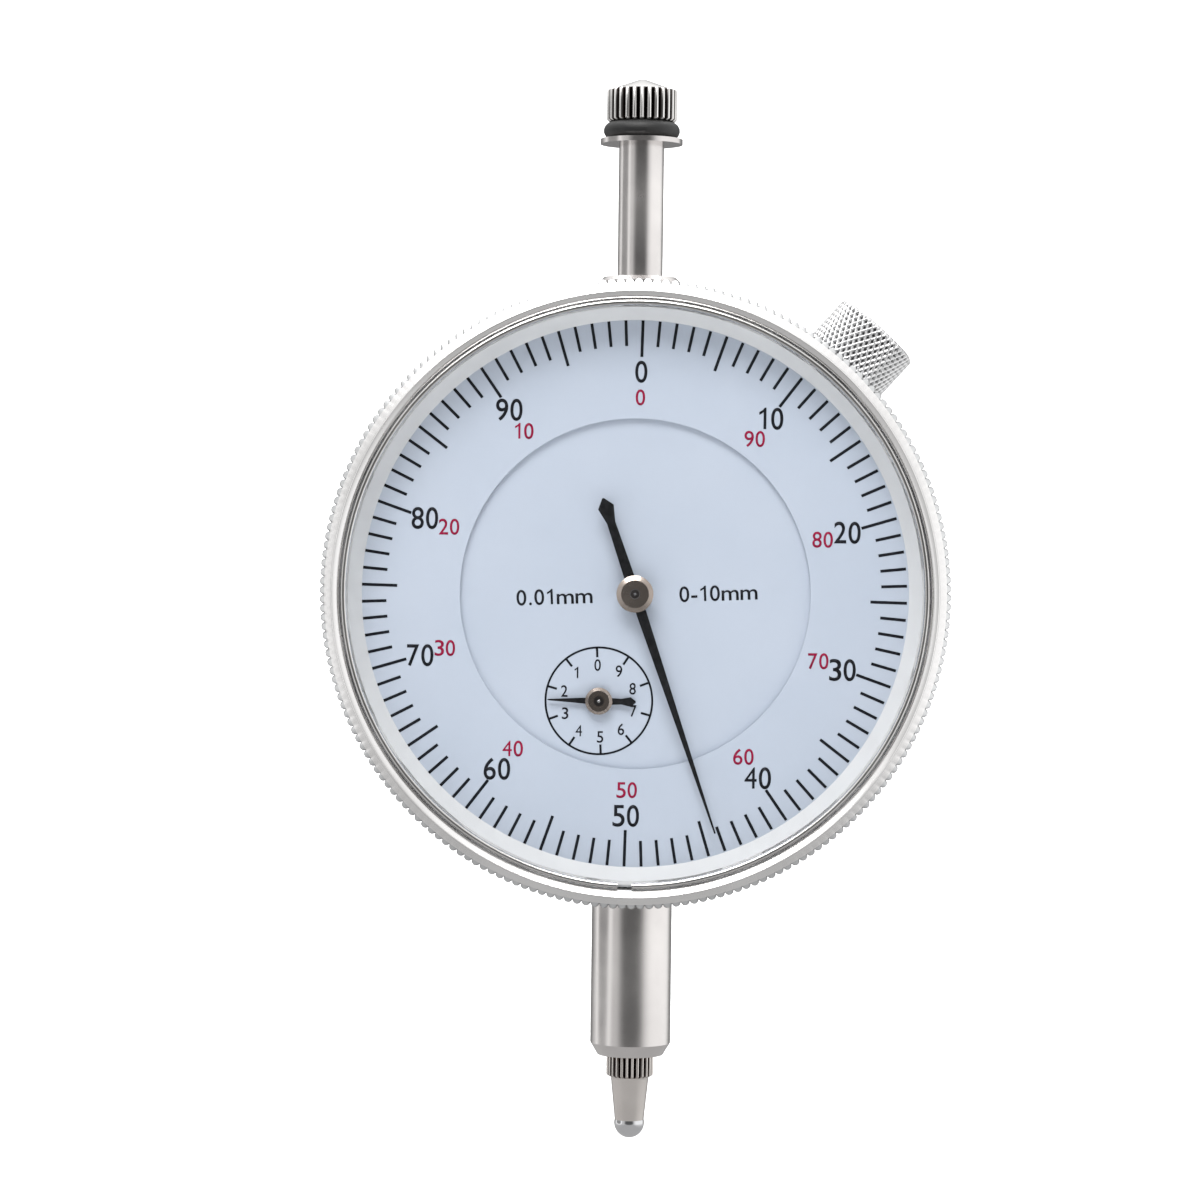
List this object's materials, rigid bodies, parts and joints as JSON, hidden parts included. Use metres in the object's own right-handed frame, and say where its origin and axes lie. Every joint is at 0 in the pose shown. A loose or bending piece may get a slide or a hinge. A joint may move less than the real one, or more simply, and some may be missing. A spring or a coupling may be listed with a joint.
{
  "type": "dial indicator",
  "caption": "Plunger dial indicator with a rotating knurled bezel, revolution counter, radial bezel lock screw, round clamping stem and lug back.",
  "frame": {"origin": "on the spindle axis, halfway along the stem's clamping length", "axes": "+Z along the spindle away from the work, -Y out of the dial's face, +X to the right of the dial"},
  "size_m": [0.0614, 0.0375, 0.1063],
  "materials": {
    "satin_chrome": "satin",
    "case_finish": "satin silver enamel",
    "ground_steel": "ground",
    "ball_steel": "polished",
    "hub_steel": "satin",
    "screw_steel": "turned",
    "spring_steel": "drawn",
    "bronze": "turned",
    "movement_brass": "grained",
    "dial_face": "matt lacquer",
    "pointer_black": "satin",
    "spacer_white": "semi-gloss",
    "crystal": "clear",
    "black_rubber": "matt"
  },
  "bodies": {
    "case": {"case_body": "case_finish", "stem": "ground_steel", "stem_lower_bushing": "bronze", "stem_upper_bushing": "bronze", "top_bush": "ground_steel", "back_cover": "case_finish", "back_cover_gasket": "black_rubber", "back_cover_screws": "screw_steel", "case_screws": "screw_steel", "bezel_retaining_wire": "spring_steel", "inner_dial_plate": "dial_face", "movement_front_plate": "movement_brass", "movement_rear_plate": "movement_brass", "movement_pillars": "movement_brass", "movement_screws": "screw_steel", "pivot_bushings": "bronze", "rack_pinion_bridge": "movement_brass", "bridge_screws": "screw_steel", "guide_channel": "movement_brass", "guide_screws": "screw_steel", "return_spring_post": "screw_steel", "return_spring": "spring_steel", "hairspring": "spring_steel", "hairspring_stud": "screw_steel"},
    "spindle": {"spindle": "ground_steel", "guide_pin": "ground_steel", "spring_pin": "ground_steel", "contact_point": "ground_steel", "contact_ball": "ball_steel", "spindle_washer": "ground_steel", "spindle_rubber_ring": "black_rubber", "spindle_cap": "satin_chrome"},
    "rack_arbor": {"rack_pinion": "ground_steel", "drive_gear": "movement_brass", "small_pointer": "pointer_black", "small_pointer_hub": "hub_steel"},
    "centre_arbor": {"centre_pinion": "ground_steel", "main_pointer": "pointer_black", "main_pointer_hub": "hub_steel"},
    "take_up": {"take_up_arbor": "ground_steel", "take_up_gear": "movement_brass", "hairspring_collet": "movement_brass"},
    "bezel": {"bezel": "satin_chrome", "crystal": "crystal", "crystal_snap_ring": "spring_steel", "spacer_ring": "spacer_white", "scale_ring": "dial_face"},
    "lock_shoe": {"lock_shoe": "case_finish"},
    "lock_screw": {"lock_screw": "satin_chrome"}
  },
  "joints": [
    {"name": "spindle_slide", "type": "slide", "parent": "case", "child": "spindle", "axis": [0, 0, 1], "range_m": [-0.0132, 0], "stiffness_N_per_m": 30, "springref_m": -0.03, "deforming": ["return_spring"]},
    {"name": "rack_pinion_turn", "type": "hinge", "parent": "case", "child": "rack_arbor", "pos_m": [-0.0034, 0, 0.02654], "axis": [0, -1, 0], "range_deg": [-477, 2]},
    {"name": "main_pointer_turn", "type": "hinge", "parent": "case", "child": "centre_arbor", "pos_m": [0, 0, 0.037], "axis": [0, -1, 0], "range_deg": [-10, 4765]},
    {"name": "take_up_turn", "type": "hinge", "parent": "case", "child": "take_up", "pos_m": [0.0089, 0, 0.04347], "axis": [0, -1, 0], "range_deg": [-477, 2]},
    {"name": "bezel_turn", "type": "hinge", "parent": "case", "child": "bezel", "pos_m": [0, 0, 0.037], "axis": [0, -1, 0], "continuous": true},
    {"name": "lock_shoe_slide", "type": "slide", "parent": "case", "child": "lock_shoe", "axis": [0.6691, 0, 0.7431], "range_m": [-0.000236, 0.00025]},
    {"name": "lock_screw_turn", "type": "hinge", "parent": "lock_shoe", "child": "lock_screw", "pos_m": [0.02007, -0.001, 0.05929], "axis": [0.6691, 0, 0.7431], "range_deg": [-170, 181]}
  ],
  "couplings": [
    {"joint": "rack_pinion_turn", "follows": "spindle_slide", "rad_per_m": 628.32},
    {"joint": "main_pointer_turn", "follows": "spindle_slide", "rad_per_m": -6283.2},
    {"joint": "take_up_turn", "follows": "spindle_slide", "rad_per_m": 628.32},
    {"joint": "lock_screw_turn", "follows": "lock_shoe_slide", "rad_per_m": 12566}
  ]
}
